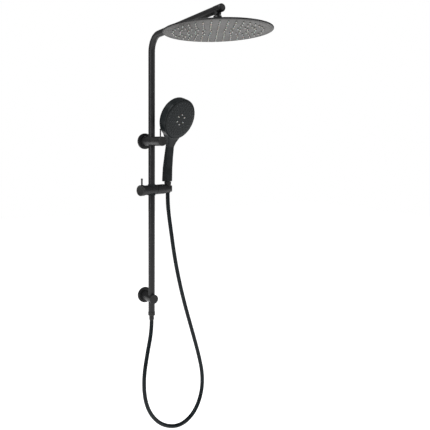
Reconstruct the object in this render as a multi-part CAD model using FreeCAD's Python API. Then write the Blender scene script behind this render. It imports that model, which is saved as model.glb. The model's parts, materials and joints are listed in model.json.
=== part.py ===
import FreeCAD, Part
import math
import os

# Wall-mounted shower column. Millimetres, +Z up, wall plane Y = 0, the object stands out towards -Y.
# The origin is the centre of the inlet bracket's face on the wall.

V = FreeCAD.Vector
HERE, RIGHT, LEFT = V(0, 0, 0), V(1, 0, 0), V(-1, 0, 0)
UP, DOWN, FRONT = V(0, 0, 1), V(0, 0, -1), V(0, -1, 0)

# ---- clearances
touch = 0.02           # pressed and glued pieces
tapped = 0.05          # screws in their tapped holes
running = 0.06         # turning and sliding fits
seat = 0.1             # faces that are screwed up against each other
slip = 0.15            # pieces pushed together by hand
gap = 0.3              # pieces that pass without touching
past = 5.0             # how far a cut runs past the metal

# ---- column
tube_radius = 11.0
tube_wall = 1.5
riser_to_wall = 55.0
bracket_drop = 535.0
arm_height = 355.9     # at the head's axis
arm_rise = 1.54        # degrees the arm climbs on its way to the head
bend_radius = 52.0
head_reach = 400.0
riser_below_bracket = 45.0
tube_socket = 9.0      # both tubes stop this far from the inlet bracket's axis

# ---- brackets
bracket_radius = 15.5
body_front = 16.5      # front of both bodies, from the riser's axis
body_stand = 2.0       # the inlet body starts this far out from the wall
body_edge = 0.6
flange_overhang = 11.5
flange_depth = 7.0
flange_skin = 2.0
flange_edge = 1.6
thread_radius = 10.4   # crest of a half-inch thread
inlet_tail_length = 14.0
inlet_bore = 5.0
spigot_radius = 12.0
spigot_depth = 20.0
wall_plate_depth = 2.2
wall_plate_margin = 0.5
wall_hole_radius = 2.5
wall_hole_from_body = 4.0
cap_joint = 2.0        # the lower body stops this far short of the front, behind its cap
cap_length = 4.5
cap_step = 0.2
grub_radius = 2.0
grub_from_wall = 12.0
grub_sunk = 0.4

# ---- diverter
knob_front = 79.0      # front of the knob, from the riser's axis
knob_groove = 1.2
knob_edge = 0.8
cartridge_radius = 9.5
cartridge_length = 24.0
cartridge_sunk = 3.0
cartridge_ring_length = 2.9
housing_radius = 12.0
housing_length = 24.0
housing_end_room = 1.5
spindle_radius = 4.0
spindle_in_cartridge = 13.0
spindle_in_knob = 16.0
knob_pin_radius = 2.2
knob_pin_height = 25.5
knob_pin_from_front = 15.0
pin_tip_step = 0.5     # both pins are this much fuller at the tip
pin_tip_length = 4.5
pin_sunk = 4.9

# ---- rain head and its ball joint
end_step = 0.4         # the arm's end piece is this much fuller than the arm
end_overlap = 14.0     # and starts this far before the head's axis
end_past_axis = 25.5
end_dome = 6.0
end_plug = 12.0
stub_length = 14.2
stub_step = 1.0
head_radius = 150.0
head_drop = 59.4
head_rim = 3.4
head_rim_wall = 2.5
head_rise = 7.0
head_shoulder = 42.0
head_skin = 1.8
neck_wall = 2.5
neck_flare = 5.0
face_skin = 1.5
nozzle_rings = 6
nozzle_pitch = 20.3
nozzle_radius = 1.8
nozzle_taper = 0.5
nozzle_length = 4.0
mat_skin = 1.2
ball_drop = 32.0
ball_radius = 8.5
ball_shank = 4.0
ball_bore = 2.4
ball_thread = 7.0
ball_thread_below_axis = 6.0
ball_seat_wall = 1.5
ball_seat_height = 11.0
swivel_limit = 15.0    # degrees the nut's opening leaves round the shank
nut_below_ball = 8.0
nut_skirt_top = 8.0
nut_skirt_wall = 1.9
nut_collar_low = 10.0
nut_collar_top = 14.5
nut_collar_radius = 11.5
washer_depth = 2.5

# ---- slider and holder
slider_height = -163.5
slider_swivel = 18.0
slider_radius = 16.4
slider_edge = 0.5
slider_left = 38.0
slider_right = 15.5
bush_wall = 2.0
bush_stand = 2.2
pad_length = 2.65
lock_radius = 18.2
lock_length = 15.4
lock_seam = 0.6
lock_edge = 1.6
lock_screw_in_knob = 8.0
lock_pin_radius = 2.9
lock_pin_height = 22.0
lock_pin_from_end = 8.6
pivot_radius = 6.0
pivot_length = 24.0
pivot_groove_from = 12.0
pivot_groove_width = 4.6
pivot_groove_depth = 1.4
holder_seam = 0.8
holder_step = 0.2      # the holder is this much fuller than the slider
holder_taper = 22.0
holder_end_radius = 13.2
socket_offset = 78.0
socket_wall = 5.0
hose_slot_room = 0.6

# ---- handset
cone_top_radius = 12.0
cone_low_radius = 9.4
cone_up = 24.0
cone_down = 14.0
cone_edge = 0.6
tail_radius = 8.6
tail_seat = 6.0        # the hose's washer lies this far above the holder's axis
tail_in_handle = 16.0
handle_lift = 0.6
handle_length = 120.0
handle_corner = 5.0
handle_sections = (    # share of the length, forward, width, depth
    (0.0, -3.0, 28.0, 28.0), (0.38, -1.0, 28.5, 25.5), (0.71, 4.0, 29.0, 21.5), (1.0, 9.5, 30.0, 18.0))
throat_sections = (    # above the plain handle, forward, width, depth
    (15.0, 15.0, 38.0, 20.0), (30.0, 20.0, 56.0, 24.0), (45.0, 22.0, 74.0, 24.0))
head_above_handle = 95.4
head_forward = 48.8
head_lean = 20.0
paddle_radius = 70.0
paddle_front = 10.0
paddle_back = 26.0
paddle_back_rise = 3.7
paddle_back_edge = 9.0
paddle_wall = 3.5
paddle_front_edge = 1.8
water_entry = (18.0, 166.0)   # forward and up from the handle's foot, inside the round head
ledge_radius = 60.0
ledge_height = 6.0
ledge_wall = 4.0
plate_crown = 1.6
plate_bevel = 0.8
centre_ring = 17.0
centre_nozzles = 6
centre_turn = 0.42     # share of a step that the first nozzle stands round from the right
centre_nozzle_radius = 2.2
centre_nozzle_height = 3.4
outer_rings = ((28.0, 12), (37.5, 18), (47.0, 24), (56.5, 30))  # radius, number of nozzles
outer_turn = 0.5
outer_nozzle_radius = 1.2
outer_nozzle_height = 2.4
nozzle_hole = 0.1

# ---- hose
hose_radius = 7.0
hose_bore = 4.5
hose_nut_radius = 12.0
hose_nut_length = 12.5
hose_nut_edge = 1.2
ferrule_radius = 8.2
ferrule_length = 16.0
washer_thickness = 1.8
outlet_plug = 18.0
outlet_collar = 1.6
outlet_thread = 7.9

# ---- places worked out from the driving dimensions
riser_y = -riser_to_wall
head_y = riser_y - head_reach
head_low = arm_height - head_drop
head_roof = head_low + head_rise
ball_z = arm_height - ball_drop
ball_centre = V(0, head_y, ball_z)
arm_slope = math.radians(arm_rise)
arm_direction = V(0, -math.cos(arm_slope), math.sin(arm_slope))
head_axis = V(0, head_y, arm_height)
ball_socket = ball_radius + running + ball_seat_wall + running
riser_low = -bracket_drop - riser_below_bracket
body_end = riser_to_wall + body_front
tube_bore = tube_radius - tube_wall
waterway = tube_bore - 3.0
flange_radius = bracket_radius + flange_overhang
bush_radius = tube_radius + running + bush_wall
cone_slope = (cone_top_radius - cone_low_radius) / (cone_up + cone_down)
handle_base = cone_up + handle_lift
cartridge_start = body_end - cartridge_sunk + slip
knob_well = body_end + housing_length + housing_end_room
lock_outer = slider_left + lock_seam + lock_length
socket_place = FreeCAD.Placement(V(socket_offset, 0, 0), FreeCAD.Rotation())


# ---- helpers
def rod(radius, start, end):
    return Part.makeCylinder(radius, (end - start).Length, start, end - start)


def pipe(outer, inner, start, end):
    return rod(outer, start, end).cut(rod(inner, start, end))


def out(distance, height=0.0):
    """A point on a bracket's axis, the given distance out from the wall."""
    return V(0, -distance, height)


def round_corner(before, corner, after, reach):
    """Start, middle, end and radius of the arc that leaves both legs of a corner at the given reach."""
    half = (corner - before).getAngle(after - corner) / 2
    radius = reach / math.tan(half)
    start = corner + (before - corner).normalize() * reach
    end = corner + (after - corner).normalize() * reach
    inward = ((start + end) * 0.5 - corner).normalize()
    return start, corner + inward * (radius / math.cos(half) - radius), end, radius


def outline(corners):
    """Closed wire through (point, rounding) corners, taken round in order."""
    edges, stops = [], []
    for i, (corner, rounding) in enumerate(corners):
        before, after = corners[i - 1][0], corners[(i + 1) % len(corners)][0]
        if rounding:
            reach = rounding * math.tan((corner - before).getAngle(after - corner) / 2)
            start, middle, end, _ = round_corner(before, corner, after, reach)
            stops.append((start, end, Part.Arc(start, middle, end).toShape()))
        else:
            stops.append((corner, corner, None))
    for i, (_, leave, arc) in enumerate(stops):
        if arc:
            edges.append(arc)
        reach_to = stops[(i + 1) % len(stops)][0]
        if (reach_to - leave).Length > 1e-6:
            edges.append(Part.LineSegment(leave, reach_to).toShape())
    return Part.Wire(edges)


def turned(profile, base=HERE, direction=UP):
    """Solid of revolution: (radius, distance along direction[, rounding]) corners, taken round in order."""
    wire = outline([(V(corner[0], 0, corner[1]), corner[2] if len(corner) > 2 else 0) for corner in profile])
    solid = Part.Face(wire).revolve(HERE, UP, 360)
    solid = Part.makeSolid(solid) if solid.ShapeType == "Shell" else solid
    if solid.Volume < 0:
        solid.reverse()
    solid.Placement = FreeCAD.Placement(base, FreeCAD.Rotation(UP, direction))
    return solid


def moved(shape, placement):
    copy = shape.copy()
    copy.Placement = placement.multiply(copy.Placement)
    return copy


def on_slider(shape):
    """From the slider's own frame (X along its barrel, riser at the origin) to the column's."""
    place = FreeCAD.Placement(V(0, riser_y, slider_height), FreeCAD.Rotation(UP, slider_swivel))
    return moved(shape, place)


def on_arm(shape):
    """From the level arm that its end and the head are drawn on to the arm's own slope."""
    return moved(shape, FreeCAD.Placement(HERE, FreeCAD.Rotation(RIGHT, -arm_rise), head_axis))


def on_handset(shape):
    """From the handset's own frame (Z up the handle, origin on the barrel's axis) to the column's."""
    return on_slider(moved(shape, socket_place))


def save(name, shape):
    """Write one named piece; a piece is one clean solid, or a group of identical ones."""
    shape = shape.removeSplitter()
    if len(shape.Solids) == 1:
        shape = shape.Solids[0]
    assert shape.isValid() and shape.Volume > 0, name
    shape.exportStep("parts/" + name + ".step")
    box = shape.BoundBox
    print(f"{name:26s} solids {len(shape.Solids)}  volume {shape.Volume:10.1f}  "
          f"x {box.XMin:7.1f} {box.XMax:7.1f}  y {box.YMin:7.1f} {box.YMax:7.1f}  "
          f"z {box.ZMin:7.1f} {box.ZMax:7.1f}")


def pin_lever(base, radius, height):
    """A turned pin standing up from a knob, with a slightly fuller rounded tip."""
    tip, tip_low = radius + pin_tip_step, height - pin_tip_length
    return turned([(0, -pin_sunk), (radius, -pin_sunk), (radius, tip_low), (tip, tip_low + 0.8),
                   (tip, height, 1.6), (0, height)], base)


def pin_hole(base, radius):
    return rod(radius + touch, base - V(0, 0, pin_sunk + seat), base + V(0, 0, past))


def grub_screw(name, start, end):
    save(name, rod(grub_radius, start, end))


# ---- the column
def bent_tube(radius):
    """Riser and arm in one: up from its socket, round the bend, then out to the head."""
    low, far = V(0, riser_y, tube_socket), head_axis - arm_direction * end_overlap
    corner = V(0, riser_y, arm_height - head_reach * math.tan(arm_slope))
    reach = bend_radius * math.tan((math.pi / 2 - arm_slope) / 2)
    start, middle, end, _ = round_corner(low, corner, far, reach)
    path = Part.Wire([Part.LineSegment(low, start).toShape(), Part.Arc(start, middle, end).toShape(),
                      Part.LineSegment(end, far).toShape()])
    section = Part.Wire(Part.Circle(low, UP, radius).toShape())
    return path.makePipeShell([section], True, False)


def riser_and_arm():
    save("upper_riser_and_arm", bent_tube(tube_radius).cut(bent_tube(tube_bore)))
    save("lower_riser", pipe(tube_radius, tube_bore, V(0, riser_y, riser_low),
                             V(0, riser_y, -tube_socket)))


def arm_end():
    """Closes the arm and turns the water down to the ball."""
    radius, length = tube_radius + end_step, end_overlap + end_past_axis
    start, axis = head_axis + V(0, end_overlap, 0), head_axis
    block = turned([(0, 0), (radius, 0), (radius, length, end_dome), (0, length)], start, FRONT)
    plug = rod(tube_bore - running, start + V(0, end_plug, 0), start + FRONT)
    stub = rod(tube_radius - stub_step, axis, axis - V(0, 0, stub_length))
    water = rod(waterway, start + V(0, end_plug + past, 0), axis + V(0, -ball_thread / 2, 0))
    drop = rod(ball_thread, axis, axis - V(0, 0, stub_length + past))
    save("arm_end_fitting", on_arm(block.fuse([plug, stub]).cut(water.fuse(drop))))


# ---- rain head
def ball_joint():
    thread_low = V(0, head_y, arm_height - stub_length)
    thread_top = V(0, head_y, arm_height - ball_thread_below_axis)
    ball = Part.makeSphere(ball_radius, ball_centre)
    bore = rod(ball_bore, ball_centre - V(0, 0, ball_radius + past), thread_top + V(0, 0, past))
    save("swivel_ball", on_arm(ball.fuse([rod(ball_shank, ball_centre, thread_top),
                                          rod(ball_thread, thread_low, thread_top)]).cut(bore)))
    # friction seat: a ring with a round inside and outside, so it can tilt on the ball
    half = V(0, 0, ball_seat_height / 2)
    ring = Part.makeSphere(ball_socket - running, ball_centre).cut(
        Part.makeSphere(ball_radius + running, ball_centre))
    save("ball_seat_ring", on_arm(ring.common(rod(ball_socket + past, ball_centre - half,
                                                  ball_centre + half))))


def swivel_nut():
    """Narrow collar above, wider skirt that screws over the head's neck."""
    neck = ball_socket + neck_wall
    skirt = neck + slip + nut_skirt_wall
    nut = turned([(0, -nut_below_ball), (skirt, -nut_below_ball, 0.6), (skirt, nut_skirt_top, 0.9),
                  (nut_collar_radius, nut_collar_low), (nut_collar_radius, nut_collar_top, 0.6),
                  (0, nut_collar_top)], ball_centre)
    narrow, tall = ball_shank + 0.4, nut_collar_top + 1.0
    opening = turned([(0, 0), (narrow, 0), (narrow + tall * math.tan(math.radians(swivel_limit)), tall),
                      (0, tall)], ball_centre)
    neck_hole = rod(neck + slip, ball_centre - V(0, 0, nut_below_ball + 1), ball_centre)
    save("swivel_nut", on_arm(nut.cut([Part.makeSphere(ball_socket, ball_centre), opening, neck_hole])))


def rain_head():
    """Thin cone-shaped shell with its neck, open underneath, closed by the nozzle plate."""
    inlet, neck, neck_top = washer_depth * 2, ball_socket + neck_wall, ball_z - seat - running
    rim_top, wall_radius = head_low + head_rim, head_radius - head_rim_wall
    body = turned([(inlet, neck_top), (neck, neck_top), (neck, head_roof + neck_flare),
                   ((neck + head_shoulder) / 3 + 2, head_roof + neck_flare / 2), (head_shoulder, head_roof),
                   (head_radius, rim_top + 1.0, 1.2), (head_radius, head_low + 0.2, 0.5),
                   (wall_radius, head_low + 0.2), (wall_radius, rim_top - 0.6),
                   (head_shoulder, head_roof - head_skin), (inlet, head_roof - head_skin + 0.6)],
                  V(0, head_y, 0))
    save("rain_head_body", on_arm(body.cut(Part.makeSphere(ball_socket, ball_centre))))
    places = nozzle_places()
    top = head_low + face_skin
    face = rod(wall_radius - slip, V(0, head_y, head_low), V(0, head_y, top))
    save("rain_head_face", on_arm(face.cut([
        rod(nozzle_radius + nozzle_hole, V(x, y, head_low - past), V(x, y, top + past))
        for x, y in places])))
    mat = rod(nozzle_rings * nozzle_pitch + nozzle_pitch / 3, V(0, head_y, top + tapped),
              V(0, head_y, top + mat_skin))
    tip = -face_skin - nozzle_length
    nubs = [turned([(0, mat_skin / 2), (nozzle_radius, mat_skin / 2), (nozzle_radius, -face_skin),
                    (nozzle_radius - nozzle_taper, tip), (0, tip)], V(x, y, top)) for x, y in places]
    save("rain_head_nozzles", on_arm(mat.fuse(nubs)))
    washer_low = V(0, head_y, head_roof + 0.5)
    save("rain_flow_washer", on_arm(pipe(inlet - seat, nozzle_radius, washer_low,
                                         washer_low + V(0, 0, washer_depth))))


def nozzle_places():
    places = [(0.0, head_y)]
    for ring in range(1, nozzle_rings + 1):
        for step in range(6 * ring):
            turn = 2 * math.pi * step / (6 * ring)
            places.append((ring * nozzle_pitch * math.cos(turn),
                           head_y + ring * nozzle_pitch * math.sin(turn)))
    return places


# ---- the two wall brackets
def flange(name, height):
    """Pressed cover that slides over the bracket and hides its fixing."""
    bore, inside = bracket_radius + slip, flange_radius - flange_skin
    save(name, turned([(bore, flange_depth), (flange_radius, flange_depth, flange_edge), (flange_radius, 0),
                       (inside, 0), (inside, flange_depth - flange_skin),
                       (bore, flange_depth - flange_skin)], V(0, 0, height), FRONT))


def bracket_grub(name, height):
    grub_screw(name, out(grub_from_wall, height - spigot_radius - seat),
               out(grub_from_wall, height - bracket_radius + grub_sunk))


def bracket_cuts(height):
    """Spigot socket and tapped grub screw hole, the same in both brackets."""
    return [rod(spigot_radius + running, out(0, height), out(spigot_depth + 1, height)),
            rod(grub_radius + tapped, out(grub_from_wall, height - bracket_radius - past),
                out(grub_from_wall, height))]


def inlet_bracket():
    flange("inlet_flange", 0)
    housing_end = body_end + housing_length
    body = turned([(0, body_stand), (bracket_radius, body_stand), (bracket_radius, body_end, body_edge),
                   (housing_radius, body_end), (housing_radius, housing_end), (0, housing_end)],
                  HERE, FRONT)
    sockets = [rod(tube_radius + running, V(0, riser_y, side * tube_socket),
                   V(0, riser_y, side * (bracket_radius + past))) for side in (1, -1)]
    chamber = rod(tube_bore - tube_wall, V(0, riser_y, -tube_socket - 1), V(0, riser_y, tube_socket + 1))
    save("inlet_body", body.cut(sockets + bracket_cuts(0) + [
        chamber, rod(waterway - 0.5, out(0), out(riser_to_wall)),
        rod(spindle_radius - 0.5, out(riser_to_wall), out(body_end)),
        rod(cartridge_radius + slip, out(body_end - cartridge_sunk), out(housing_end + past))]))
    tail = rod(thread_radius, V(0, inlet_tail_length, 0), out(0))
    save("inlet_union", tail.fuse(rod(spigot_radius, out(0), out(spigot_depth))).cut(
        rod(inlet_bore, V(0, inlet_tail_length + past, 0), out(spigot_depth + past))))
    bracket_grub("inlet_grub_screw", 0)


def diverter():
    """Ceramic cartridge, held by a screwed ring; the spindle comes out through both into the knob."""
    end = cartridge_start + cartridge_length
    spindle_start, spindle_tip = end - spindle_in_cartridge, knob_well + spindle_in_knob
    save("diverter_cartridge", rod(cartridge_radius, out(cartridge_start), out(end)).cut(
        rod(spindle_radius + running, out(spindle_start - 1), out(end + past))))
    save("cartridge_ring", pipe(cartridge_radius, spindle_radius + 2 * gap, out(end + seat),
                                out(end + seat + cartridge_ring_length)))
    save("diverter_spindle", rod(spindle_radius, out(spindle_start), out(spindle_tip)))
    back, front = body_end + knob_groove, riser_to_wall + knob_front
    pin = out(front - knob_pin_from_front, bracket_radius)
    grub = knob_well + spindle_in_knob / 2
    knob = turned([(0, back), (bracket_radius, back, 0.5), (bracket_radius, front, knob_edge), (0, front)],
                  HERE, FRONT)
    save("diverter_knob", knob.cut([
        rod(housing_radius + gap, out(back - 1), out(knob_well)),
        rod(spindle_radius + touch, out(knob_well - 1), out(spindle_tip + 0.5)),
        pin_hole(pin, knob_pin_radius), rod(grub_radius + tapped, out(grub, -bracket_radius - past),
                                            out(grub))]))
    save("diverter_pin", pin_lever(pin, knob_pin_radius, knob_pin_height))
    grub_screw("diverter_grub_screw", out(grub, -spindle_radius - seat),
               out(grub, -bracket_radius + grub_sunk))


def lower_bracket():
    height = -bracket_drop
    flange("lower_flange", height)
    front = body_end - cap_joint
    body = rod(bracket_radius, out(wall_plate_depth + seat, height), out(front, height))
    riser_hole = rod(tube_radius + running, V(0, riser_y, height - bracket_radius - past),
                     V(0, riser_y, height + bracket_radius + past))
    save("lower_body", body.cut([riser_hole] + bracket_cuts(height)))
    radius, back = bracket_radius + cap_step, front + seat
    save("lower_end_cap", turned([(0, back), (radius, back), (radius, back + cap_length, 0.9),
                                  (0, back + cap_length)], V(0, 0, height), FRONT))
    plate = rod(flange_radius - flange_skin - wall_plate_margin, out(0, height),
                out(wall_plate_depth, height))
    boss = rod(spigot_radius, out(0, height), out(spigot_depth, height))
    hole_offset = bracket_radius + wall_hole_from_body
    save("lower_wall_plate", plate.fuse(boss).cut([
        rod(wall_hole_radius, V(side * hole_offset, past, height), V(side * hole_offset, -past, height))
        for side in (1, -1)]))
    bracket_grub("lower_grub_screw", height)


# ---- slider and holder
def slider():
    bush_half = V(0, 0, slider_radius + bush_stand)
    save("slider_bush", on_slider(pipe(bush_radius, tube_radius + running, -bush_half, bush_half)))
    pivot_end = slider_right + pivot_length
    body = turned([(0, -slider_left), (slider_radius, -slider_left),
                   (slider_radius, slider_right, slider_edge), (pivot_radius, slider_right),
                   (pivot_radius, pivot_end), (0, pivot_end)], HERE, RIGHT)
    groove_start = slider_right + pivot_groove_from
    save("slider_body", on_slider(body.cut([
        rod(bush_radius + running, -2 * bush_half, 2 * bush_half),
        rod(spindle_radius + running, V(-slider_left - 1, 0, 0), HERE),
        pipe(pivot_radius + past, pivot_radius - pivot_groove_depth, V(groove_start, 0, 0),
             V(groove_start + pivot_groove_width, 0, 0))])))
    save("holder_washer", on_slider(pipe(slider_radius - 2, pivot_radius + slip,
                                         V(slider_right + seat, 0, 0),
                                         V(slider_right + holder_seam - seat, 0, 0))))
    pad_right = -bush_radius - gap - tapped
    pad_left = pad_right - pad_length
    save("clamp_pad", on_slider(rod(spindle_radius, V(pad_left, 0, 0), V(pad_right, 0, 0))))
    save("lock_screw", on_slider(rod(spindle_radius, V(-slider_left - lock_screw_in_knob, 0, 0),
                                     V(pad_left - gap, 0, 0))))


def lock_knob():
    inner = slider_left + lock_seam
    knob = turned([(0, inner), (lock_radius, inner, 0.5), (lock_radius, lock_outer, lock_edge),
                   (0, lock_outer)], HERE, LEFT)
    pin = V(-lock_outer + lock_pin_from_end, 0, lock_radius)
    save("lock_knob", on_slider(knob.cut([
        rod(spindle_radius + touch, V(-slider_left, 0, 0), V(-slider_left - lock_screw_in_knob - 0.2, 0, 0)),
        pin_hole(pin, lock_pin_radius)])))
    save("lock_pin", on_slider(pin_lever(pin, lock_pin_radius, lock_pin_height)))


def holder():
    """Barrel on the slider's pivot, tapering to a cone socket that is open at the front for the hose."""
    start, radius = slider_right + holder_seam, slider_radius + holder_step
    socket_radius = cone_low_radius + cone_slope * cone_down + seat
    end_radius = socket_radius + socket_wall
    end, tall = socket_offset + end_radius, slider_radius + 3 * past
    barrel = turned([(0, start), (radius, start, slider_edge), (radius, socket_offset - holder_taper),
                     (holder_end_radius + 0.4, socket_offset), (holder_end_radius, end), (0, end)],
                    HERE, RIGHT)
    round_end = Part.makeBox(socket_offset, 2 * tall, 2 * tall, V(0, -tall, -tall)).fuse(
        rod(end_radius, V(socket_offset, 0, -tall), V(socket_offset, 0, tall)))
    cone = turned([(0, -tall), (socket_radius - tall * cone_slope, -tall),
                   (socket_radius + tall * cone_slope, tall), (0, tall)])
    slot_half = hose_radius + hose_slot_room
    slot = Part.makeBox(tall, 2 * slot_half, 2 * tall, V(0, -slot_half, -tall))
    pivot_hole = rod(pivot_radius + running, V(start - 1, 0, 0), V(slider_right + pivot_length + 1, 0, 0))
    screw_x = slider_right + pivot_groove_from + pivot_groove_width / 2
    screw_hole = rod(grub_radius + tapped, V(screw_x, 0, -radius - past), V(screw_x, 0, 0))
    body = barrel.common(round_end).cut([moved(cone, socket_place), moved(slot, socket_place),
                                         pivot_hole, screw_hole])
    save("handset_holder", on_slider(body))
    grub_screw_top = V(screw_x, 0, -pivot_radius + pivot_groove_depth - grub_sunk)
    save("holder_grub_screw", on_slider(rod(grub_radius, V(screw_x, 0, -slider_radius + 0.5),
                                            grub_screw_top)))


# ---- handset
def hose_cone():
    nut = turned([(0, -cone_down), (cone_low_radius, -cone_down), (cone_top_radius, cone_up, cone_edge),
                  (0, cone_up)])
    save("hose_cone_nut", on_handset(nut.cut([
        rod(hose_bore, V(0, 0, -cone_down - 1), V(0, 0, cone_up)),
        rod(tail_radius + gap, V(0, 0, tail_seat), V(0, 0, cone_up + 1))])))
    washer_low = V(0, 0, tail_seat + seat)
    save("upper_hose_washer", on_handset(pipe(tail_radius, hose_bore, washer_low,
                                              washer_low + V(0, 0, washer_thickness))))


def rounded_box(height, forward, width, depth):
    """Closed outline across the handle with rounded corners."""
    x, y = width / 2, depth / 2
    corners = [(-x, -y), (x, -y), (x, y), (-x, y)]
    return outline([(V(px, py - forward, height), handle_corner) for px, py in corners])


def ring_places(radius, count, first):
    turns = [2 * math.pi * (step + first) / count for step in range(count)]
    return [(radius * math.cos(turn), radius * math.sin(turn)) for turn in turns]


def nozzle_group(name, places, radius, height, mat, face_place):
    """Soft nozzles that share the mat behind the spray plate."""
    nubs = [turned([(0, ledge_height - 1), (radius, ledge_height - 1), (radius * 0.8, paddle_front + height),
                    (0, paddle_front + height)], V(x, y, 0)) for x, y in places]
    save(name, on_handset(moved(mat.fuse(nubs), face_place)))


def handset_shell(face_place):
    """Handle and round head in one moulding, hollow behind the spray plate."""
    top = handle_base + handle_length
    sections = [rounded_box(handle_base + share * handle_length, *size) for share, *size in handle_sections]
    sections += [rounded_box(top + above, *size) for above, *size in throat_sections]
    rim, inner = paddle_radius, paddle_radius - ledge_wall
    shell = turned([(0, -paddle_back), (rim, paddle_back_rise - paddle_back, paddle_back_edge),
                    (rim, paddle_front, paddle_front_edge), (0, paddle_front)])
    cavity = turned([(0, paddle_wall - paddle_back), (inner - 10, paddle_wall + 1.5 - paddle_back),
                     (inner, -paddle_back / 2), (inner, 2.0), (ledge_radius, 4.0),
                     (ledge_radius, ledge_height), (inner, ledge_height), (inner, paddle_front + past),
                     (0, paddle_front + past)])
    tail_end = V(0, 0, handle_base + tail_in_handle)
    forward, up = water_entry
    water = rod(hose_bore, tail_end + DOWN, V(0, -forward, handle_base + up))
    tail_hole = rod(tail_radius + tapped, V(0, 0, handle_base - 1), tail_end)
    save("handset_body", on_handset(Part.makeLoft(sections, True, True).fuse(moved(shell, face_place)).cut(
        [moved(cavity, face_place), tail_hole, water])))


def handset():
    face_place = FreeCAD.Placement(V(0, -head_forward, handle_base + handle_length + head_above_handle),
                                   FreeCAD.Rotation(RIGHT, 90 + head_lean))
    handset_shell(face_place)
    save("handset_tail", on_handset(pipe(tail_radius, hose_bore - seat,
                                         V(0, 0, tail_seat + washer_thickness + 2 * seat),
                                         V(0, 0, handle_base + tail_in_handle - seat))))
    centre = ring_places(centre_ring, centre_nozzles, centre_turn)
    outer = [place for radius, count in outer_rings for place in ring_places(radius, count, outer_turn)]
    plate_low, plate_radius = ledge_height + slip, paddle_radius - ledge_wall - 0.2
    plate = turned([(0, plate_low), (plate_radius, plate_low), (plate_radius, paddle_front),
                    (plate_radius - past, paddle_front + plate_bevel), (0, paddle_front + plate_crown)])
    holes = [rod(size + nozzle_hole, V(x, y, 0), V(x, y, paddle_front + past))
             for size, places in ((centre_nozzle_radius, centre), (outer_nozzle_radius, outer))
             for x, y in places]
    save("handset_face", on_handset(moved(plate.cut(holes), face_place)))
    mat_low, mat_high, split = V(0, 0, ledge_height - 1.8), V(0, 0, ledge_height), centre_ring + 6
    nozzle_group("handset_centre_nozzles", centre, centre_nozzle_radius, centre_nozzle_height,
                 rod(split, mat_low, mat_high), face_place)
    nozzle_group("handset_outer_nozzles", outer, outer_nozzle_radius, outer_nozzle_height,
                 pipe(ledge_radius - 0.5, split + 1, mat_low, mat_high), face_place)


# ---- outlet and hose
def outlet():
    at = V(0, riser_y, riser_low)
    collar_low = at - V(0, 0, outlet_collar)
    thread_low = collar_low - V(0, 0, outlet_thread)
    plug = rod(tube_bore - running, at + V(0, 0, outlet_plug), at)
    collar = rod(tube_radius, at - V(0, 0, seat), collar_low)
    core = rod(tube_bore - 1, at, collar_low)
    save("outlet_spigot", plug.fuse([collar, rod(thread_radius, collar_low, thread_low), core]).cut(
        rod(inlet_bore, at + V(0, 0, outlet_plug + past), thread_low - V(0, 0, past))))
    washer_top = thread_low - V(0, 0, seat)
    washer_low = washer_top - V(0, 0, washer_thickness)
    save("lower_hose_washer", pipe(thread_radius - 1, inlet_bore, washer_top, washer_low))
    nut_top = collar_low - V(0, 0, 4 * seat)
    nut_low = nut_top - V(0, 0, hose_nut_length)
    nut = turned([(0, 0), (hose_nut_radius, 0, 0.5), (hose_nut_radius, hose_nut_length, hose_nut_edge),
                  (0, hose_nut_length)], nut_top, DOWN)
    save("lower_hose_nut", nut.cut([rod(thread_radius + running, nut_top + UP, washer_low - V(0, 0, seat)),
                                    rod(inlet_bore, nut_top, nut_low + DOWN)]))
    ferrule_low = nut_low - V(0, 0, ferrule_length)
    save("lower_hose_ferrule", pipe(ferrule_radius, hose_bore, nut_low, ferrule_low))
    return ferrule_low


# the hose's route between its two ends, chosen by hand: down, round the loop and up again
hose_route = [
    (0, -55, -650), (-27, -78, -715), (-49, -93, -795), (-45, -96, -875), (-15, -91, -938),
    (36, -84, -983), (104, -74, -1001), (168, -60, -974), (206, -48, -915), (214, -42, -845),
    (198, -39, -768), (169, -37, -670), (141, -37, -580), (117, -37, -490), (99, -35, -400),
    (87, -33, -315), (79, -31, -257)]
hose_last_run = 32.0   # the hose leaves the cone nut straight for this far
bend_share = 0.45      # an arc takes up to this share of the shorter run beside it


def hose(start):
    end = on_handset(Part.Vertex(V(0, 0, -cone_down))).Point
    under = on_handset(Part.Vertex(V(0, 0, -cone_down - hose_last_run))).Point
    points = [start] + [V(*point) for point in hose_route] + [under, end]
    edges, here, radii = [], start, []
    for before, corner, after in zip(points, points[1:], points[2:]):
        reach = bend_share * min((corner - before).Length, (after - corner).Length)
        into, middle, away, radius = round_corner(before, corner, after, reach)
        edges += [Part.LineSegment(here, into).toShape(), Part.Arc(into, middle, away).toShape()]
        here = away
        radii.append(round(radius))
    path = Part.Wire(edges + [Part.LineSegment(here, end).toShape()])
    section = Part.Wire(Part.Circle(start, points[1] - start, hose_radius).toShape())
    tube = path.makePipeShell([section], True, False)
    ratio = tube.Volume / (math.pi * hose_radius ** 2 * path.Length)
    print(f"hose length {path.Length:.0f}, radii {radii}, volume over section times length {ratio:.4f}")
    save("shower_hose", tube)


os.makedirs("parts", exist_ok=True)
riser_and_arm()
arm_end()
ball_joint()
swivel_nut()
rain_head()
inlet_bracket()
diverter()
lower_bracket()
slider()
lock_knob()
holder()
hose_cone()
handset()
hose(outlet())
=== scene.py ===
import bpy
import json
import math
from mathutils import Matrix, Vector


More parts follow.
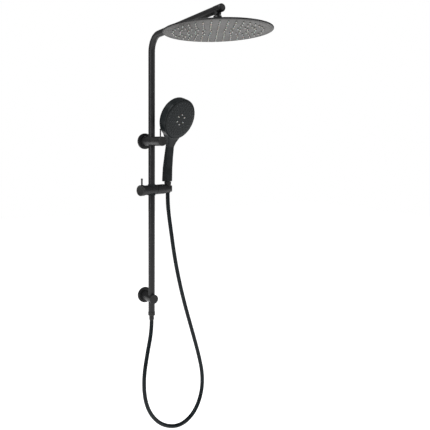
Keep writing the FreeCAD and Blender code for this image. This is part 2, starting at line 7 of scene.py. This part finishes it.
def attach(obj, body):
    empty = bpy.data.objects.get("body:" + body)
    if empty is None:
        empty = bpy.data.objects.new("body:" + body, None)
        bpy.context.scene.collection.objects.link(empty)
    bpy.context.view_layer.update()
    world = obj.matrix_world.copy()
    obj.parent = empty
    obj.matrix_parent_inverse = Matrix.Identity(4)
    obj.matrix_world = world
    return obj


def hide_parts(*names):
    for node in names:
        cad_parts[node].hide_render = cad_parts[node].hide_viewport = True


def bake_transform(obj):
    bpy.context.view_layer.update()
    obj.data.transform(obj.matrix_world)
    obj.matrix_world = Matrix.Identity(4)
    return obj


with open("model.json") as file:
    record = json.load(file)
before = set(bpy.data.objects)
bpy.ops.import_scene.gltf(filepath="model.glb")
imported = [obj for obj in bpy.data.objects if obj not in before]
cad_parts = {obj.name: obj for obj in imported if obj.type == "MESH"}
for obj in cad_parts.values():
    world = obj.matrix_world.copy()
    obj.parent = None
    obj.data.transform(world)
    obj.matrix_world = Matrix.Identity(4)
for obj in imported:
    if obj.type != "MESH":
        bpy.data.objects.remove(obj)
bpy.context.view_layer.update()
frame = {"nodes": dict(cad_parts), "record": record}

bpy.ops.object.select_all(action="DESELECT")
mm = 0.001

# the camera stands left of the column, a little below the inlet bracket
camera = {
    "place": (-0.8887, -1.8397, -0.0036),
    "azimuth": -26.32,
    "pitch": -4.11,
    "lens": 49.6,
    "sensor": 36,
    "shift": (0.151, -0.070),
}
bpy.ops.object.camera_add(location=camera["place"])
cam = bpy.context.object
cam.name = "camera"
cam.rotation_euler = (math.radians(90 + camera["pitch"]), 0, math.radians(camera["azimuth"]))
cam.data.sensor_width = camera["sensor"]
cam.data.lens = camera["lens"]
cam.data.shift_x, cam.data.shift_y = camera["shift"]
cam.select_set(False)
bpy.context.scene.camera = cam
bpy.context.scene.view_settings.view_transform = "Standard"
print("camera set")

# the hose's route between its two ends, in metres; its spline follows these control points
hose = {
    "radius": 7 * mm,
    "smoothness": 16,
    "roundness": 8,
    "route": [
        (0, -0.055, -0.6105), (0, -0.055, -0.650), (-0.027, -0.078, -0.715), (-0.049, -0.093, -0.795),
        (-0.045, -0.096, -0.875), (-0.015, -0.091, -0.938), (0.036, -0.084, -0.983),
        (0.104, -0.074, -1.001), (0.168, -0.060, -0.974), (0.206, -0.048, -0.915),
        (0.214, -0.042, -0.845), (0.198, -0.039, -0.768), (0.169, -0.037, -0.670),
        (0.141, -0.037, -0.580), (0.117, -0.037, -0.490), (0.099, -0.035, -0.400),
        (0.087, -0.033, -0.315), (0.079, -0.031, -0.257), (0.07418, -0.0309, -0.2095),
        (0.07418, -0.0309, -0.1775)],
}


def hoseCurve(name, bevel):
    curve = bpy.data.curves.new(name, "CURVE")
    curve.dimensions = "3D"
    curve.resolution_u = hose["smoothness"]
    curve.bevel_depth = bevel
    curve.bevel_resolution = hose["roundness"]
    spline = curve.splines.new("NURBS")
    spline.points.add(len(hose["route"]) - 1)
    for point, place in zip(spline.points, hose["route"]):
        point.co = (*place, 1)
    spline.order_u = 3              # only after the points are there
    spline.use_endpoint_u = True
    owner = bpy.data.objects.new(name, curve)
    bpy.context.collection.objects.link(owner)
    return owner


def makeHose():
    line = hoseCurve("hoseLine", 0)
    bpy.context.view_layer.update()
    path = [tuple(vertex.co) for vertex in bpy.data.meshes.new_from_object(line).vertices]
    bpy.data.objects.remove(line)
    tube = hoseCurve("showerHose", hose["radius"])
    bpy.context.view_layer.objects.active = tube
    tube.select_set(True)
    bpy.ops.object.convert(target="MESH")
    tube = bpy.context.object
    bpy.ops.object.shade_smooth()
    tube.select_set(False)
    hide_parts("shower_hose")
    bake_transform(tube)
    return tube


showerHose = makeHose()


def linear(code):                    # sRGB hex to the linear values a shader takes
    parts = [int(code[i:i + 2], 16) / 255 for i in (1, 3, 5)]
    return [c / 12.92 if c <= 0.04045 else ((c + 0.055) / 1.055) ** 2.4 for c in parts] + [1]


# settings hold attributes or socket values; links give each socket its (node, output)
def addNode(tree, kind, settings, links):
    node = tree.nodes.new(kind)
    for key, value in settings.items():
        if isinstance(key, str) and hasattr(node, key):
            setattr(node, key, value)
        else:
            node.inputs[key].default_value = value
    for key, (source, output) in links.items():
        tree.links.new(source.outputs[output], node.inputs[key])
    return node


patchEdges = (0.3, 0.7)      # noise values where a finish is fully dark and fully light
grainFlatness = 6            # a grain is this many times as wide as it is deep


# what every finish shares: uneven colour, uneven gloss and a fine grain
def newFinish(name, look):
    material = bpy.data.materials.new(name)
    material.use_nodes = True
    tree = material.node_tree
    shader = tree.nodes["Principled BSDF"]
    for socket, value in look["shader"].items():
        shader.inputs[socket].default_value = value
    coords = addNode(tree, "ShaderNodeTexCoord", {}, {})
    patches = addNode(tree, "ShaderNodeTexNoise", {"Scale": 1 / look["patch"], "Detail": 3.0},
                      {"Vector": (coords, "Object")})
    tint = addNode(tree, "ShaderNodeValToRGB", {}, {"Fac": (patches, "Fac")})
    tint.color_ramp.elements[0].position, tint.color_ramp.elements[1].position = patchEdges
    tint.color_ramp.elements[0].color = linear(look["dark"])
    tint.color_ramp.elements[1].color = linear(look["light"])
    gloss = addNode(tree, "ShaderNodeMapRange",
                    {"From Min": patchEdges[0], "From Max": patchEdges[1],
                     "To Min": look["gloss"][0], "To Max": look["gloss"][1]},
                    {"Value": (patches, "Fac")})
    grain = addNode(tree, "ShaderNodeTexNoise", {"Scale": 1 / look["grain"], "Detail": 2.0},
                    {"Vector": (coords, "Object")})
    bump = addNode(tree, "ShaderNodeBump",
                   {"Strength": look["relief"], "Distance": look["grain"] / grainFlatness},
                   {"Height": (grain, "Fac")})
    tree.links.new(tint.outputs["Color"], shader.inputs["Base Color"])
    tree.links.new(gloss.outputs["Result"], shader.inputs["Roughness"])
    tree.links.new(bump.outputs["Normal"], shader.inputs["Normal"])
    return material, tree, shader, coords, bump


# matt black powder coat, sprayed on brass: soft broad highlights and the faint orange peel of the powder
mattCoat = newFinish("mattBlackPowderCoat", {
    "dark": "#161617", "light": "#1d1d1e", "patch": 30 * mm, "gloss": (0.36, 0.46),
    "grain": 1.6 * mm,               # real peel is about 0.5 mm, drawn coarser so that it shows
    "relief": 0.10, "shader": {"IOR": 1.5, "Specular IOR Level": 0.28}})[0]

# the same coat on the knobs and the hose nuts: a little smoother, and a shade lighter in colour
lighterSmoothCoat = newFinish("lighterSmoothPowderCoat", {
    "dark": "#181818", "light": "#212120", "patch": 9 * mm, "gloss": (0.26, 0.38),
    "grain": 1.4 * mm, "relief": 0.07, "shader": {"IOR": 1.5, "Specular IOR Level": 0.3}})[0]

# satin ABS, injection moulded and spark textured: bluish black, low sheen, very fine even grain
satinAbs = newFinish("satinMouldedAbs", {
    "dark": "#101415", "light": "#191d1f", "patch": 22 * mm, "gloss": (0.32, 0.42),
    "grain": 0.9 * mm,               # real spark texture is about 0.1 mm, drawn coarser so that it shows
    "relief": 0.10, "shader": {"IOR": 1.53, "Specular IOR Level": 0.17}})[0]

# the rain head's spray plate: the same black, glossier, so the floor shows in it; its colour is painted a
# shade warmer and lighter, a painted reflection of the pale floor below it
sprayPlatePaintedLight = newFinish("sprayPlatePaintedFloorLight", {
    "dark": "#2a2826", "light": "#33312f", "patch": 40 * mm, "gloss": (0.30, 0.40),
    "grain": 1.2 * mm, "relief": 0.06, "shader": {"IOR": 1.5, "Specular IOR Level": 0.3}})[0]

# moulded silicone rubber, light grey: matt and slightly see-through, with mould dust on it
paleSilicone = newFinish("paleMouldedSilicone", {
    "dark": "#a4a5a1", "light": "#c6c7c2", "patch": 6 * mm, "gloss": (0.5, 0.65),
    "grain": 0.6 * mm, "relief": 0.08,
    "shader": {"IOR": 1.41, "Subsurface Weight": 0.15, "Subsurface Scale": 0.6 * mm}})[0]

# moulded silicone rubber, dark grey: the handset's fine nozzles, coloured a shade paler than the plate they
# stand in as a painted highlight on each dot
nozzleSiliconePaintedHighlight = newFinish("darkSiliconePaintedHighlight", {
    "dark": "#393d3f", "light": "#4b5052", "patch": 4 * mm, "gloss": (0.35, 0.5),
    "grain": 0.6 * mm, "relief": 0.08, "shader": {"IOR": 1.41}})[0]

# moulded silicone rubber, black: the collar round each nozzle
blackSilicone = newFinish("blackMouldedSilicone", {
    "dark": "#131415", "light": "#1d1e1f", "patch": 6 * mm, "gloss": (0.45, 0.6),
    "grain": 0.6 * mm, "relief": 0.08, "shader": {"IOR": 1.41}})[0]

# extruded PVC over a braid: deep blue-black with a clear skin that gives a long narrow highlight
hosePvc, pvcTree, pvcShader, pvcCoords, pvcBump = newFinish("extrudedPvc", {
    "dark": "#080d10", "light": "#101a1e", "patch": 14 * mm, "gloss": (0.28, 0.38),
    "grain": 2.5 * mm, "relief": 0.08,
    "shader": {"IOR": 1.53, "Specular IOR Level": 0.1, "Coat Weight": 0.1, "Coat Roughness": 0.2}})
braid = addNode(pvcTree, "ShaderNodeTexWave",        # slanted bands, for the braid under the skin
                {"wave_type": "BANDS", "bands_direction": "DIAGONAL", "Scale": 80.0, "Distortion": 0.4},
                {"Vector": (pvcCoords, "Object")})
braidBump = addNode(pvcTree, "ShaderNodeBump", {"Strength": 0.05, "Distance": 0.3 * mm},
                    {"Height": (braid, "Fac"), "Normal": (pvcBump, "Normal")})
pvcTree.links.new(braidBump.outputs["Normal"], pvcShader.inputs["Normal"])

# machined brass: warm metal with fine lathe rings and a few duller patches
brass, brassTree, brassShader, brassCoords, brassBump = newFinish("machinedBrass", {
    "dark": "#a8894a", "light": "#c9ab66", "patch": 8 * mm, "gloss": (0.22, 0.36),
    "grain": 0.8 * mm, "relief": 0.05, "shader": {"Metallic": 1.0}})
rings = addNode(brassTree, "ShaderNodeTexWave",
                {"wave_type": "BANDS", "bands_direction": "Z", "Scale": 700.0},
                {"Vector": (brassCoords, "Object")})
ringBump = addNode(brassTree, "ShaderNodeBump", {"Strength": 0.15, "Distance": 0.05 * mm},
                   {"Height": (rings, "Fac"), "Normal": (brassBump, "Normal")})
brassTree.links.new(ringBump.outputs["Normal"], brassShader.inputs["Normal"])

# zinc-plated steel: bluish grey metal with the cloudy spangle of the bath
zincSteel = newFinish("zincPlatedSteel", {
    "dark": "#8f9296", "light": "#b6b9bd", "patch": 4 * mm, "gloss": (0.3, 0.5),
    "grain": 0.7 * mm, "relief": 0.08, "shader": {"Metallic": 1.0}})[0]

# sealing rubber: dead matt black
sealRubber = newFinish("sealRubber", {
    "dark": "#0d0d0d", "light": "#161616", "patch": 3 * mm, "gloss": (0.7, 0.85),
    "grain": 0.5 * mm, "relief": 0.1, "shader": {"IOR": 1.52}})[0]

slotFinishes = {"matt_black_metal": mattCoat, "black_plastic": satinAbs, "nozzle_silicone": paleSilicone,
                "hose_pvc": hosePvc, "bare_brass": brass, "zinc_steel": zincSteel, "seal_rubber": sealRubber}


def paint(piece, finish):
    piece.data.materials.clear()
    piece.data.materials.append(finish)
    for face in piece.data.polygons:
        face.material_index = 0


for part in frame["record"]["subparts"]:
    paint(frame["nodes"][part["node"]], slotFinishes[part["material_slot"]])
for node in ("swivel_ball", "outlet_spigot", "handset_tail"):   # brass that is coated where it shows
    paint(frame["nodes"][node], mattCoat)
paint(showerHose, hosePvc)
print("finishes made")


weld = 0.01 * mm             # corners closer than this are one corner
turnedSteps = 96             # flat sides round a turned piece
edgeWork = {"bevelAbove": 30, "bevelSteps": 3, "smoothBelow": 35}     # angles in degrees


def finishPiece(piece, finish, body, node, bevel):
    bpy.ops.object.select_all(action="DESELECT")
    piece.select_set(True)
    bpy.context.view_layer.objects.active = piece
    if bevel:
        edges = piece.modifiers.new("edges", "BEVEL")
        edges.width, edges.segments = bevel, edgeWork["bevelSteps"]
        edges.limit_method, edges.angle_limit = "ANGLE", math.radians(edgeWork["bevelAbove"])
        bpy.ops.object.modifier_apply(modifier="edges")
    bpy.ops.object.shade_smooth_by_angle(angle=math.radians(edgeWork["smoothBelow"]))
    piece.select_set(False)
    paint(piece, finish)
    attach(piece, body)
    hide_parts(node)


def spinProfile(name, profile, place, steps):        # profile: closed (radius, height) corners in mm
    bpy.ops.object.select_all(action="DESELECT")
    bpy.ops.mesh.primitive_plane_add(size=mm)
    piece = bpy.context.object
    piece.name = piece.data.name = name
    bpy.ops.object.mode_set(mode="EDIT")
    bpy.ops.mesh.merge(type="CENTER")
    points = [Vector((radius * mm, 0, height * mm)) for radius, height in profile]
    bpy.ops.transform.translate(value=points[0])
    for before, after in zip(points, points[1:] + points[:1]):
        bpy.ops.mesh.extrude_region_move(TRANSFORM_OT_translate={"value": after - before})
    bpy.ops.mesh.select_all(action="SELECT")
    bpy.ops.mesh.spin(steps=steps, angle=2 * math.pi, center=(0, 0, 0), axis=(0, 0, 1))
    bpy.ops.mesh.select_all(action="SELECT")
    bpy.ops.mesh.remove_doubles(threshold=weld)
    bpy.ops.mesh.select_all(action="SELECT")
    bpy.ops.mesh.normals_make_consistent(inside=False)
    bpy.ops.object.mode_set(mode="OBJECT")
    piece.data.transform(place)
    piece.select_set(False)
    return piece


def along(base, direction):          # matrix from a profile's own Z axis to a place on the column
    turn = Vector((0, 0, 1)).rotation_difference(Vector(direction))
    return Matrix.Translation([value * mm for value in base]) @ turn.to_matrix().to_4x4()


slide = {"turn": 18, "height": -163.5, "riser": -55, "socket": 78}
slideAxis = (math.cos(math.radians(slide["turn"])), math.sin(math.radians(slide["turn"])), 0)


def onSlide(distance, up):           # a point on the slider's barrel, in mm
    return (distance * slideAxis[0], slide["riser"] + distance * slideAxis[1], slide["height"] + up)


# the arm climbs a little on its way to the head, and the head stands square to it
arm = {"radius": 11, "wall": 1.5, "riser": -55, "low": 9, "axis": (0, -455, 355.9), "rise": 1.54, "bend": 52,
       "overlap": 14, "bendSteps": 40, "sides": 72}
slope = math.radians(arm["rise"])
headAxis = Vector(arm["axis"]) * mm
armTilt = Matrix.Translation(headAxis) @ Matrix.Rotation(-slope, 4, "X") @ Matrix.Translation(-headAxis)


def leverProfile(radius, height):    # pin lever with a fuller rounded tip
    tip = radius + 0.5
    return [(0, -4.9), (radius, -4.9), (radius, height - 4.6), (tip, height - 3.8), (tip, height - 1.4),
            (tip - 0.5, height - 0.4), (tip - 1.5, height), (0, height)]


flangeProfile = [(15.65, 7.0), (25.2, 7.0), (26.5, 6.4), (27.0, 5.2), (27.0, 0), (25.0, 0), (25.0, 5.0),
                 (15.65, 5.0)]
# shifts of the nut and of the rain head from the heights in their profiles
nutPlace, headPlace = (0, -455, 0.9), (0, -455, -1.5)
front, up = (0, -1, 0), (0, 0, 1)
turnedPieces = {
    # name: node, body, slot, finish, where, direction, edge bevel in mm, corners
    "inletFlange": ("inlet_flange", "column", "matt_black_metal", mattCoat, (0, 0, 0), front, 0.25,
                    flangeProfile),
    "lowerFlange": ("lower_flange", "column", "matt_black_metal", mattCoat, (0, 0, -535), front, 0.25,
                    flangeProfile),
    "diverterKnob": ("diverter_knob", "diverter_handle", "matt_black_metal", lighterSmoothCoat,
                     (0, 0, 0), front, 0.3, [
        (0, 97), (12.3, 97), (12.3, 72.7), (15.2, 72.7), (15.5, 73.1), (15.5, 133.3), (14.8, 134.0),
        (13.9, 134.0), (13.4, 133.7), (0, 133.7)]),
    "diverterPin": ("diverter_pin", "diverter_handle", "matt_black_metal", mattCoat, (0, -119, 15.5), up, 0,
                    leverProfile(2.2, 25.5)),
    "lockKnob": ("lock_knob", "lock_handle", "matt_black_metal", lighterSmoothCoat, onSlide(0, 0),
                 tuple(-value for value in slideAxis), 0.3, [
        (4.05, 46.2), (4.05, 38.6), (17.8, 38.6), (18.2, 39.1), (18.2, 52.5), (17.7, 53.5), (16.7, 54.0),
        (14.8, 54.0), (14.3, 53.6), (0, 53.6), (0, 46.2)]),
    "lockPin": ("lock_pin", "lock_handle", "matt_black_metal", mattCoat, onSlide(-45.4, 18.2), up, 0,
                leverProfile(2.9, 22)),
    "lowerRiser": ("lower_riser", "column", "matt_black_metal", mattCoat, (0, -55, 0), up, 0.2,
                   [(9.5, -580), (11, -580), (11, -9), (9.5, -9)]),
    "swivelNut": ("swivel_nut", "rain_head", "matt_black_metal", mattCoat, nutPlace, up, 0.25, [
        (12.8, 315), (15.3, 315), (15.85, 315.6), (15.85, 318.0), (15.4, 318.4), (15.4, 319.0),
        (15.85, 319.4), (15.85, 330.2), (15.2, 331.1), (11.9, 332.8), (11.5, 333.5), (11.5, 336.9),
        (10.9, 337.5), (8.6, 337.5), (6.2, 328.5), (10.2, 323.2), (12.8, 322.9)]),
    "rainHeadShell": ("rain_head_body", "rain_head", "matt_black_metal", mattCoat, headPlace, up, 0.2, [
        (10.3, 325.2), (12.6, 325.2), (12.6, 311.4), (13.4, 309.4), (15.4, 307.8), (20, 306.6),
        (30, 305.7), (42, 305.05), (95, 303.8), (147.8, 302.5), (149.3, 302.1), (150, 301.2),
        (150, 298.8), (149.5, 298.2), (147.5, 298.2), (147.5, 300.8), (42, 303.2), (10.3, 303.9)]),
    "rainHeadPlate": ("rain_head_face", "rain_head", "matt_black_metal", sprayPlatePaintedLight, headPlace, up, 0.15, [
        (0, 298.0), (140.5, 298.0), (141.4, 298.7), (142.6, 298.7), (143.5, 298.0), (147.3, 298.0),
        (147.3, 299.4), (0, 299.4)]),
    "lowerHoseNut": ("lower_hose_nut", "column", "matt_black_metal", lighterSmoothCoat, (0, -55, 0), up, 0.2, [
        (10.5, -592.5), (10.5, -582), (11.6, -582), (12, -582.4), (12, -585.2), (11.5, -585.6),
        (11.5, -586.4), (12, -586.8), (12, -593.3), (11.0, -594.5), (5, -594.5), (5, -592.5)]),
    "lowerFerrule": ("lower_hose_ferrule", "column", "matt_black_metal", mattCoat, (0, -55, 0), up, 0.15, [
        (4.5, -610.5), (4.5, -594.6), (8.2, -594.6), (8.2, -597.0), (7.8, -597.4), (7.8, -598.2),
        (8.2, -598.6), (8.2, -609.6), (7.5, -610.5)]),
    "coneNut": ("hose_cone_nut", "holder", "matt_black_metal", lighterSmoothCoat,
                onSlide(slide["socket"], 0), up, 0.15, [
        (4.6, 6), (4.6, -14), (9.1, -14), (9.45, -13.6), (12.0, 23.4), (11.6, 24), (9, 24), (9, 6)]),
}
for name, (node, body, slot, finish, base, direction, bevel, corners) in turnedPieces.items():
    place = along(base, direction)
    piece = spinProfile(name, corners, armTilt @ place if body == "rain_head" else place, turnedSteps)
    finishPiece(piece, finish, body, node, bevel * mm)
print("turned pieces made")

# riser, bend and arm are one tube, drawn up, bent and drawn out
corner = Vector((0, arm["riser"], arm["axis"][2] + (arm["axis"][1] - arm["riser"]) * math.tan(slope))) * mm
legs = arm["bend"] * mm * math.tan((math.pi / 2 - slope) / 2)
outward = Vector((0, -math.cos(slope), math.sin(slope)))
armEnd = headAxis - outward * arm["overlap"] * mm
bpy.ops.object.select_all(action="DESELECT")
bpy.ops.mesh.primitive_circle_add(vertices=arm["sides"], radius=arm["radius"] * mm,
                                  location=(0, arm["riser"] * mm, arm["low"] * mm))
tube = bpy.context.object
tube.name = tube.data.name = "riserAndArm"
bpy.ops.object.transform_apply(location=True, rotation=True, scale=True)
bpy.ops.object.mode_set(mode="EDIT")
bpy.ops.mesh.extrude_region_move(TRANSFORM_OT_translate={"value": (0, 0, corner.z - legs - arm["low"] * mm)})
bpy.ops.mesh.spin(steps=arm["bendSteps"], angle=math.pi / 2 - slope, axis=(-1, 0, 0),
                  center=(0, corner.y - arm["bend"] * mm, corner.z - legs))
bpy.ops.mesh.extrude_region_move(TRANSFORM_OT_translate={"value": armEnd - corner - outward * legs})
bpy.ops.mesh.select_all(action="SELECT")
bpy.ops.mesh.remove_doubles(threshold=weld)
bpy.ops.mesh.normals_make_consistent(inside=False)
bpy.ops.object.mode_set(mode="OBJECT")
wall = tube.modifiers.new("wall", "SOLIDIFY")
wall.thickness, wall.offset = arm["wall"] * mm, -1
bpy.ops.object.modifier_apply(modifier="wall")
finishPiece(tube, mattCoat, "column", "upper_riser_and_arm", 0)
print("riser and arm", [round(value, 4) for value in tube.dimensions])


# one finished shape copied to many places, each copy with its own mesh
def copyTo(model, name, places):
    copies = []
    for place in places:
        piece = model.copy()
        piece.data = model.data.copy()
        piece.data.transform(place)
        bpy.context.collection.objects.link(piece)
        copies.append(piece)
    bpy.data.objects.remove(model)
    bpy.ops.object.select_all(action="DESELECT")
    for piece in copies:
        piece.select_set(True)
    bpy.context.view_layer.objects.active = copies[0]
    bpy.ops.object.join()
    copies[0].name = copies[0].data.name = name
    return copies[0]


def onRing(radius, count, first):
    turns = [2 * math.pi * (step + first) / count for step in range(count)]
    return [(radius * mm * math.cos(turn), radius * mm * math.sin(turn), 0) for turn in turns]


# heights are out of the spray plate, so the nozzle's own Z points the way the water goes
rainNozzles = {
    "pitch": 20.3, "rings": 6, "moreEachRing": 6, "turns": 12,
    "plate": (0, -455, 296.5),
    "tip": [(0, 2.2), (0.6, 2.2), (0.75, 4.0), (1.3, 4.0), (1.8, 0.2), (1.8, -1.2), (0, -1.2)],
    "collar": [(1.7, -0.6), (3.5, -0.6), (3.4, 0.3), (2.9, 0.55), (1.7, 0.55)],
}
rainDown = armTilt @ Matrix.Translation(Vector(rainNozzles["plate"]) * mm) @ Matrix.Rotation(math.pi, 4, "X")
rainPlaces = [(0, 0, 0)]
for ring in range(1, rainNozzles["rings"] + 1):
    rainPlaces += onRing(ring * rainNozzles["pitch"], rainNozzles["moreEachRing"] * ring, 0)
rainPlaces = [rainDown @ Matrix.Translation(place) for place in rainPlaces]
tips = copyTo(spinProfile("rainTip", rainNozzles["tip"], Matrix(), rainNozzles["turns"]),
              "rainNozzles", rainPlaces)
finishPiece(tips, paleSilicone, "rain_head", "rain_head_nozzles", 0)
collars = copyTo(spinProfile("rainCollar", rainNozzles["collar"], Matrix(), rainNozzles["turns"]),
                 "rainCollars", rainPlaces)
finishPiece(collars, blackSilicone, "rain_head", "rain_head_nozzles", 0)
print("rain nozzles", len(rainPlaces))

# the handset's round head leans forward and looks down a little
handset = {
    "headForward": 48.8, "headUp": 240.0, "headLean": 20,
    "voxel": 1.6, "smooth": 8, "softness": 0.5,
    "paleTurns": 16, "darkTurns": 12, "paleFoot": 11.2, "darkFoot": 10.7,
    "plate": [(0, 6.2), (65.6, 6.2), (65.6, 9.5), (65.0, 10.1), (60.8, 10.8), (40, 11.25), (0, 11.55)],
    "pale": [(0, 2.2), (0.7, 2.2), (0.9, 3.4), (1.8, 3.4), (2.2, 0.3), (2.2, -3), (0, -3)],
    "dark": [(0, 1.2), (0.5, 1.2), (0.6, 2.4), (1.1, 2.4), (1.5, 0.3), (1.5, -3), (0, -3)],
    "collar": [(1.4, -0.6), (2.6, -0.6), (2.5, 0.15), (2.2, 0.35), (1.4, 0.35)],
    "paleRing": (17.0, 6, 0.42), "darkRings": ((28.0, 12), (37.5, 18), (47.0, 24), (56.5, 30)),
}
facePlace = (Matrix.Translation([value * mm for value in onSlide(slide["socket"], 0)])
             @ Matrix.Rotation(math.radians(slide["turn"]), 4, "Z")
             @ Matrix.Translation((0, -handset["headForward"] * mm, handset["headUp"] * mm))
             @ Matrix.Rotation(math.radians(90 + handset["headLean"]), 4, "X"))

bpy.ops.object.select_all(action="DESELECT")
source = frame["nodes"]["handset_body"]
# the moulding, with its joints flowed together
shell = bpy.data.objects.new("handsetShell", source.data.copy())
bpy.context.collection.objects.link(shell)
shell.select_set(True)
bpy.context.view_layer.objects.active = shell
bpy.ops.object.mode_set(mode="EDIT")
bpy.ops.mesh.select_all(action="SELECT")
bpy.ops.mesh.remove_doubles(threshold=weld)
bpy.ops.object.mode_set(mode="OBJECT")
remesh = shell.modifiers.new("remesh", "REMESH")
remesh.mode, remesh.voxel_size = "VOXEL", handset["voxel"] * mm
bpy.ops.object.modifier_apply(modifier="remesh")
soften = shell.modifiers.new("soften", "SMOOTH")
soften.factor, soften.iterations = handset["softness"], handset["smooth"]
bpy.ops.object.modifier_apply(modifier="soften")
finishPiece(shell, satinAbs, "handset", "handset_body", 0)
bpy.ops.object.select_all(action="DESELECT")
for face in shell.data.polygons:
    face.use_smooth = True
print("handset shell", len(shell.data.polygons), "faces")

plate = spinProfile("handsetPlate", handset["plate"], facePlace, turnedSteps)
finishPiece(plate, satinAbs, "handset", "handset_face", 0.2 * mm)
onPlate = [facePlace @ Matrix.Translation(Vector(place) + Vector((0, 0, handset["paleFoot"] * mm)))
           for place in onRing(*handset["paleRing"])]
paleTips = copyTo(spinProfile("paleTip", handset["pale"], Matrix(), handset["paleTurns"]),
                  "handsetPaleNozzles", onPlate)
finishPiece(paleTips, paleSilicone, "handset", "handset_centre_nozzles", 0)
onPlate = [facePlace @ Matrix.Translation(Vector(place) + Vector((0, 0, handset["darkFoot"] * mm)))
           for radius, count in handset["darkRings"] for place in onRing(radius, count, 0.5)]
darkTips = copyTo(spinProfile("darkTip", handset["dark"], Matrix(), handset["darkTurns"]),
                  "handsetDarkNozzles", onPlate)
darkCollars = copyTo(spinProfile("darkCollar", handset["collar"], Matrix(), handset["darkTurns"]),
                     "handsetCollars", onPlate)
finishPiece(darkCollars, blackSilicone, "handset", "handset_outer_nozzles", 0)
finishPiece(darkTips, nozzleSiliconePaintedHighlight, "handset", "handset_outer_nozzles", 0)
print("handset made")

# the studio has a pale floor, white surroundings and three soft lights
studio = {
    "floor": -1.16, "floorSize": 14, "floorGlow": 0.95, "surroundings": 0.2,
    "lights": {
        "rightLight": {"place": (1.6, -2.2, 1.2), "size": (0.4, 2.4), "power": 18},
        "leftLight": {"place": (-2.4, -1.0, 0.4), "size": (0.5, 2.4), "power": 22},
        "topLight": {"place": (-1.4, -0.7, 2.0), "size": (1.0, 1.0), "power": 45},
    },
    "target": (0, -0.1, -0.2),
}
bpy.ops.mesh.primitive_plane_add(size=studio["floorSize"], location=(0, 0, studio["floor"]))
floor = bpy.context.object
floor.name = "floor"
floorFinish = newFinish("paleFloor", {
    "dark": "#f2f2f2", "light": "#f8f8f8", "patch": 0.5, "gloss": (0.85, 0.95),
    "grain": 4 * mm, "relief": 0.02,
    "shader": {"Emission Color": (1, 1, 1, 1), "Emission Strength": studio["floorGlow"]}})[0]
paint(floor, floorFinish)
floor.select_set(False)

world = bpy.data.worlds.new("studio")
bpy.context.scene.world = world
world.use_nodes = True
background = world.node_tree.nodes["Background"]
background.inputs["Color"].default_value = (1, 1, 1, 1)
rays = addNode(world.node_tree, "ShaderNodeLightPath", {}, {})
glow = addNode(world.node_tree, "ShaderNodeMapRange", {"To Min": studio["surroundings"], "To Max": 1.0},
               {"Value": (rays, "Is Camera Ray")})
world.node_tree.links.new(glow.outputs["Result"], background.inputs["Strength"])

for name, light in studio["lights"].items():
    bpy.ops.object.light_add(type="AREA", location=light["place"])
    lamp = bpy.context.object
    lamp.name = name
    lamp.data.shape = "RECTANGLE"
    lamp.data.size, lamp.data.size_y = light["size"]
    lamp.data.energy = light["power"]
    aim = Vector(studio["target"]) - Vector(light["place"])
    lamp.rotation_euler = aim.to_track_quat("-Z", "Y").to_euler()
    lamp.select_set(False)
print("studio set")
